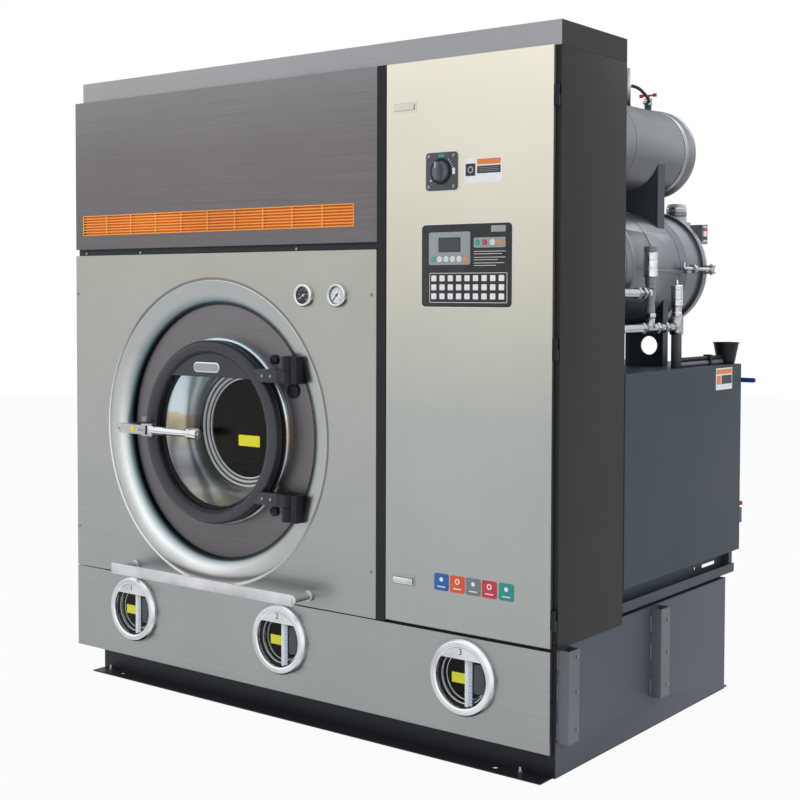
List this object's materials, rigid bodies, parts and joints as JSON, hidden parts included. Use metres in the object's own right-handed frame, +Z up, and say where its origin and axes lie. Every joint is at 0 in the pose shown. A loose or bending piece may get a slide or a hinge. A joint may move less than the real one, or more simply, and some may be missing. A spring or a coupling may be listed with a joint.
{
  "type": "dry cleaning machine",
  "caption": "Front-loading dry cleaning machine with round glazed door, control cabinet, solvent tank base, drum drive, still and condenser.",
  "frame": {"origin": "centre of the chassis footprint on the floor", "axes": "+X to the right seen from the front, +Y from the front towards the rear unit, +Z up"},
  "size_m": [2.065, 1.3773, 2.1],
  "materials": {
    "base_frame": "semi-gloss",
    "base_walls": "semi-gloss",
    "solvent_tanks": "satin",
    "tank_front_panel": "satin",
    "sight_glass_rings": "polished",
    "sight_glasses": "clear",
    "level_scales": "gloss",
    "panel_bolts": "satin",
    "deck_frame": "semi-gloss",
    "body_shell": "semi-gloss",
    "door_panel": "satin",
    "front_plate": "matte",
    "drum_housing": "satin",
    "loading_neck": "mirror polished",
    "drum": "satin, perforated",
    "drum_shaft": "turned",
    "bearing_pedestal": "painted",
    "drum_pulley": "painted",
    "drive_belt": "matte",
    "drive_motor": "semi-gloss",
    "motor_pulley": "turned",
    "door_ring": "semi-gloss",
    "door_glass": "clear",
    "door_seal": "matte",
    "handle_bracket": "polished",
    "door_handle": "polished",
    "door_keeper": "satin",
    "hinge_blocks": "satin",
    "guard_bar": "satin",
    "lint_panel": "satin",
    "air_grille": "matte",
    "air_fan": "satin",
    "fan_motor": "semi-gloss",
    "gauges": "polished",
    "thermometer_needle": "matte",
    "pressure_needle": "matte",
    "cabinet": "satin",
    "cabinet_door": "satin",
    "cabinet_hinges": "satin",
    "upper_latch": "gloss",
    "lower_latch": "gloss",
    "switch_plate": "matte",
    "switch_knob": "matte",
    "control_panel": "satin",
    "top_cap": "satin",
    "condenser_tank": "semi-gloss",
    "still_vessel": "semi-gloss",
    "still_door": "semi-gloss",
    "still_clamp": "satin",
    "vessel_brackets": "semi-gloss",
    "still_motor": "satin",
    "pipework": "satin",
    "control_valves": "satin",
    "red_valve_handle": "gloss",
    "blue_valve_handle": "gloss",
    "drain_knob": "gloss",
    "fill_funnel": "matte",
    "hoses": "matte",
    "rear_casing": "semi-gloss",
    "hinge_knuckles": "satin"
  },
  "bodies": {
    "machine": {"base_frame": "base_frame", "base_walls": "base_walls", "solvent_tanks": "solvent_tanks", "tank_front_panel": "tank_front_panel", "sight_glass_rings": "sight_glass_rings", "sight_glasses": "sight_glasses", "level_scales": "level_scales", "panel_bolts": "panel_bolts", "deck_frame": "deck_frame", "body_shell": "body_shell", "door_panel": "door_panel", "front_plate": "front_plate", "drum_housing": "drum_housing", "loading_neck": "loading_neck", "bearing_pedestal": "bearing_pedestal", "drive_belt": "drive_belt", "drive_motor": "drive_motor", "door_keeper": "door_keeper", "hinge_blocks": "hinge_blocks", "guard_bar": "guard_bar", "lint_panel": "lint_panel", "air_grille": "air_grille", "fan_motor": "fan_motor", "gauges": "gauges", "cabinet": "cabinet", "cabinet_hinges": "cabinet_hinges", "top_cap": "top_cap", "condenser_tank": "condenser_tank", "still_vessel": "still_vessel", "vessel_brackets": "vessel_brackets", "pipework": "pipework", "control_valves": "control_valves", "fill_funnel": "fill_funnel", "hoses": "hoses", "rear_casing": "rear_casing"},
    "loading_door": {"door_ring": "door_ring", "door_glass": "door_glass", "door_seal": "door_seal", "handle_bracket": "handle_bracket", "hinge_knuckles": "hinge_knuckles"},
    "door_lever": {"door_handle": "door_handle"},
    "drum_set": {"drum": "drum", "drum_shaft": "drum_shaft", "drum_pulley": "drum_pulley"},
    "motor_wheel": {"motor_pulley": "motor_pulley"},
    "fan_wheel": {"air_fan": "air_fan"},
    "cabinet_door": {"cabinet_door": "cabinet_door", "switch_plate": "switch_plate", "control_panel": "control_panel"},
    "upper_latch": {"upper_latch": "upper_latch"},
    "lower_latch": {"lower_latch": "lower_latch"},
    "switch_knob": {"switch_knob": "switch_knob"},
    "thermometer_needle": {"thermometer_needle": "thermometer_needle"},
    "pressure_needle": {"pressure_needle": "pressure_needle"},
    "still_door": {"still_door": "still_door", "still_motor": "still_motor"},
    "still_clamp": {"still_clamp": "still_clamp"},
    "red_valve_handle": {"red_valve_handle": "red_valve_handle"},
    "blue_valve_handle": {"blue_valve_handle": "blue_valve_handle"},
    "drain_knob": {"drain_knob": "drain_knob"}
  },
  "joints": [
    {"name": "loading_door_swing", "type": "hinge", "parent": "machine", "child": "loading_door", "pos_m": [-0.031, -0.5765, 0.887], "axis": [0, 0, 1], "range_deg": [0, 110]},
    {"name": "door_lever_pull", "type": "hinge", "parent": "loading_door", "child": "door_lever", "pos_m": [-0.61, -0.6335, 0.884], "axis": [0, 0, -1], "range_deg": [0, 35], "stiffness_Nm_per_rad": 2},
    {"name": "drum_spin", "type": "hinge", "parent": "machine", "child": "drum_set", "pos_m": [-0.385, 0.0035, 0.887], "axis": [0, 1, 0], "continuous": true},
    {"name": "motor_spin", "type": "hinge", "parent": "machine", "child": "motor_wheel", "pos_m": [-0.746, 0.1285, 0.53], "axis": [0, 1, 0], "continuous": true},
    {"name": "fan_spin", "type": "hinge", "parent": "machine", "child": "fan_wheel", "pos_m": [-0.155, -0.2715, 1.768], "axis": [0, 1, 0], "continuous": true},
    {"name": "cabinet_door_swing", "type": "hinge", "parent": "machine", "child": "cabinet_door", "pos_m": [0.946, -0.5665, 1.197], "axis": [0, 0, 1], "range_deg": [0, 115]},
    {"name": "upper_latch_turn", "type": "hinge", "parent": "cabinet_door", "child": "upper_latch", "pos_m": [0.426, -0.5715, 1.899], "axis": [0, 1, 0], "range_deg": [0, 90]},
    {"name": "lower_latch_turn", "type": "hinge", "parent": "cabinet_door", "child": "lower_latch", "pos_m": [0.426, -0.5715, 0.493], "axis": [0, 1, 0], "range_deg": [0, 90]},
    {"name": "main_switch_turn", "type": "hinge", "parent": "cabinet_door", "child": "switch_knob", "pos_m": [0.562, -0.5765, 1.704], "axis": [0, 1, 0], "range_deg": [0, 90]},
    {"name": "thermometer_needle_turn", "type": "hinge", "parent": "machine", "child": "thermometer_needle", "pos_m": [0.029, -0.5775, 1.344], "axis": [0, 1, 0], "range_deg": [0, 240], "stiffness_Nm_per_rad": 0.001},
    {"name": "pressure_needle_turn", "type": "hinge", "parent": "machine", "child": "pressure_needle", "pos_m": [0.166, -0.5775, 1.344], "axis": [0, 1, 0], "range_deg": [0, 270], "stiffness_Nm_per_rad": 0.001},
    {"name": "still_door_swing", "type": "hinge", "parent": "machine", "child": "still_door", "pos_m": [0.458, 0.5475, 1.436], "axis": [0, 0, 1], "range_deg": [0, 110]},
    {"name": "still_clamp_swing", "type": "hinge", "parent": "still_door", "child": "still_clamp", "pos_m": [0.888, 0.5468, 1.436], "axis": [0, 0, 1], "range_deg": [0, 90]},
    {"name": "red_valve_turn", "type": "hinge", "parent": "machine", "child": "red_valve_handle", "pos_m": [0.674, 0.4835, 2.03], "axis": [0, 0, 1], "range_deg": [0, 90]},
    {"name": "blue_valve_turn", "type": "hinge", "parent": "machine", "child": "blue_valve_handle", "pos_m": [0.854, 0.7035, 1.053], "axis": [0, 1, 0], "range_deg": [0, 90]},
    {"name": "drain_knob_turn", "type": "hinge", "parent": "machine", "child": "drain_knob", "pos_m": [0.935, 0.6815, 0.61], "axis": [0, 0, 1], "range_deg": [0, 270]}
  ],
  "couplings": [
    {"joint": "motor_spin", "follows": "drum_spin", "ratio": 4.6}
  ]
}
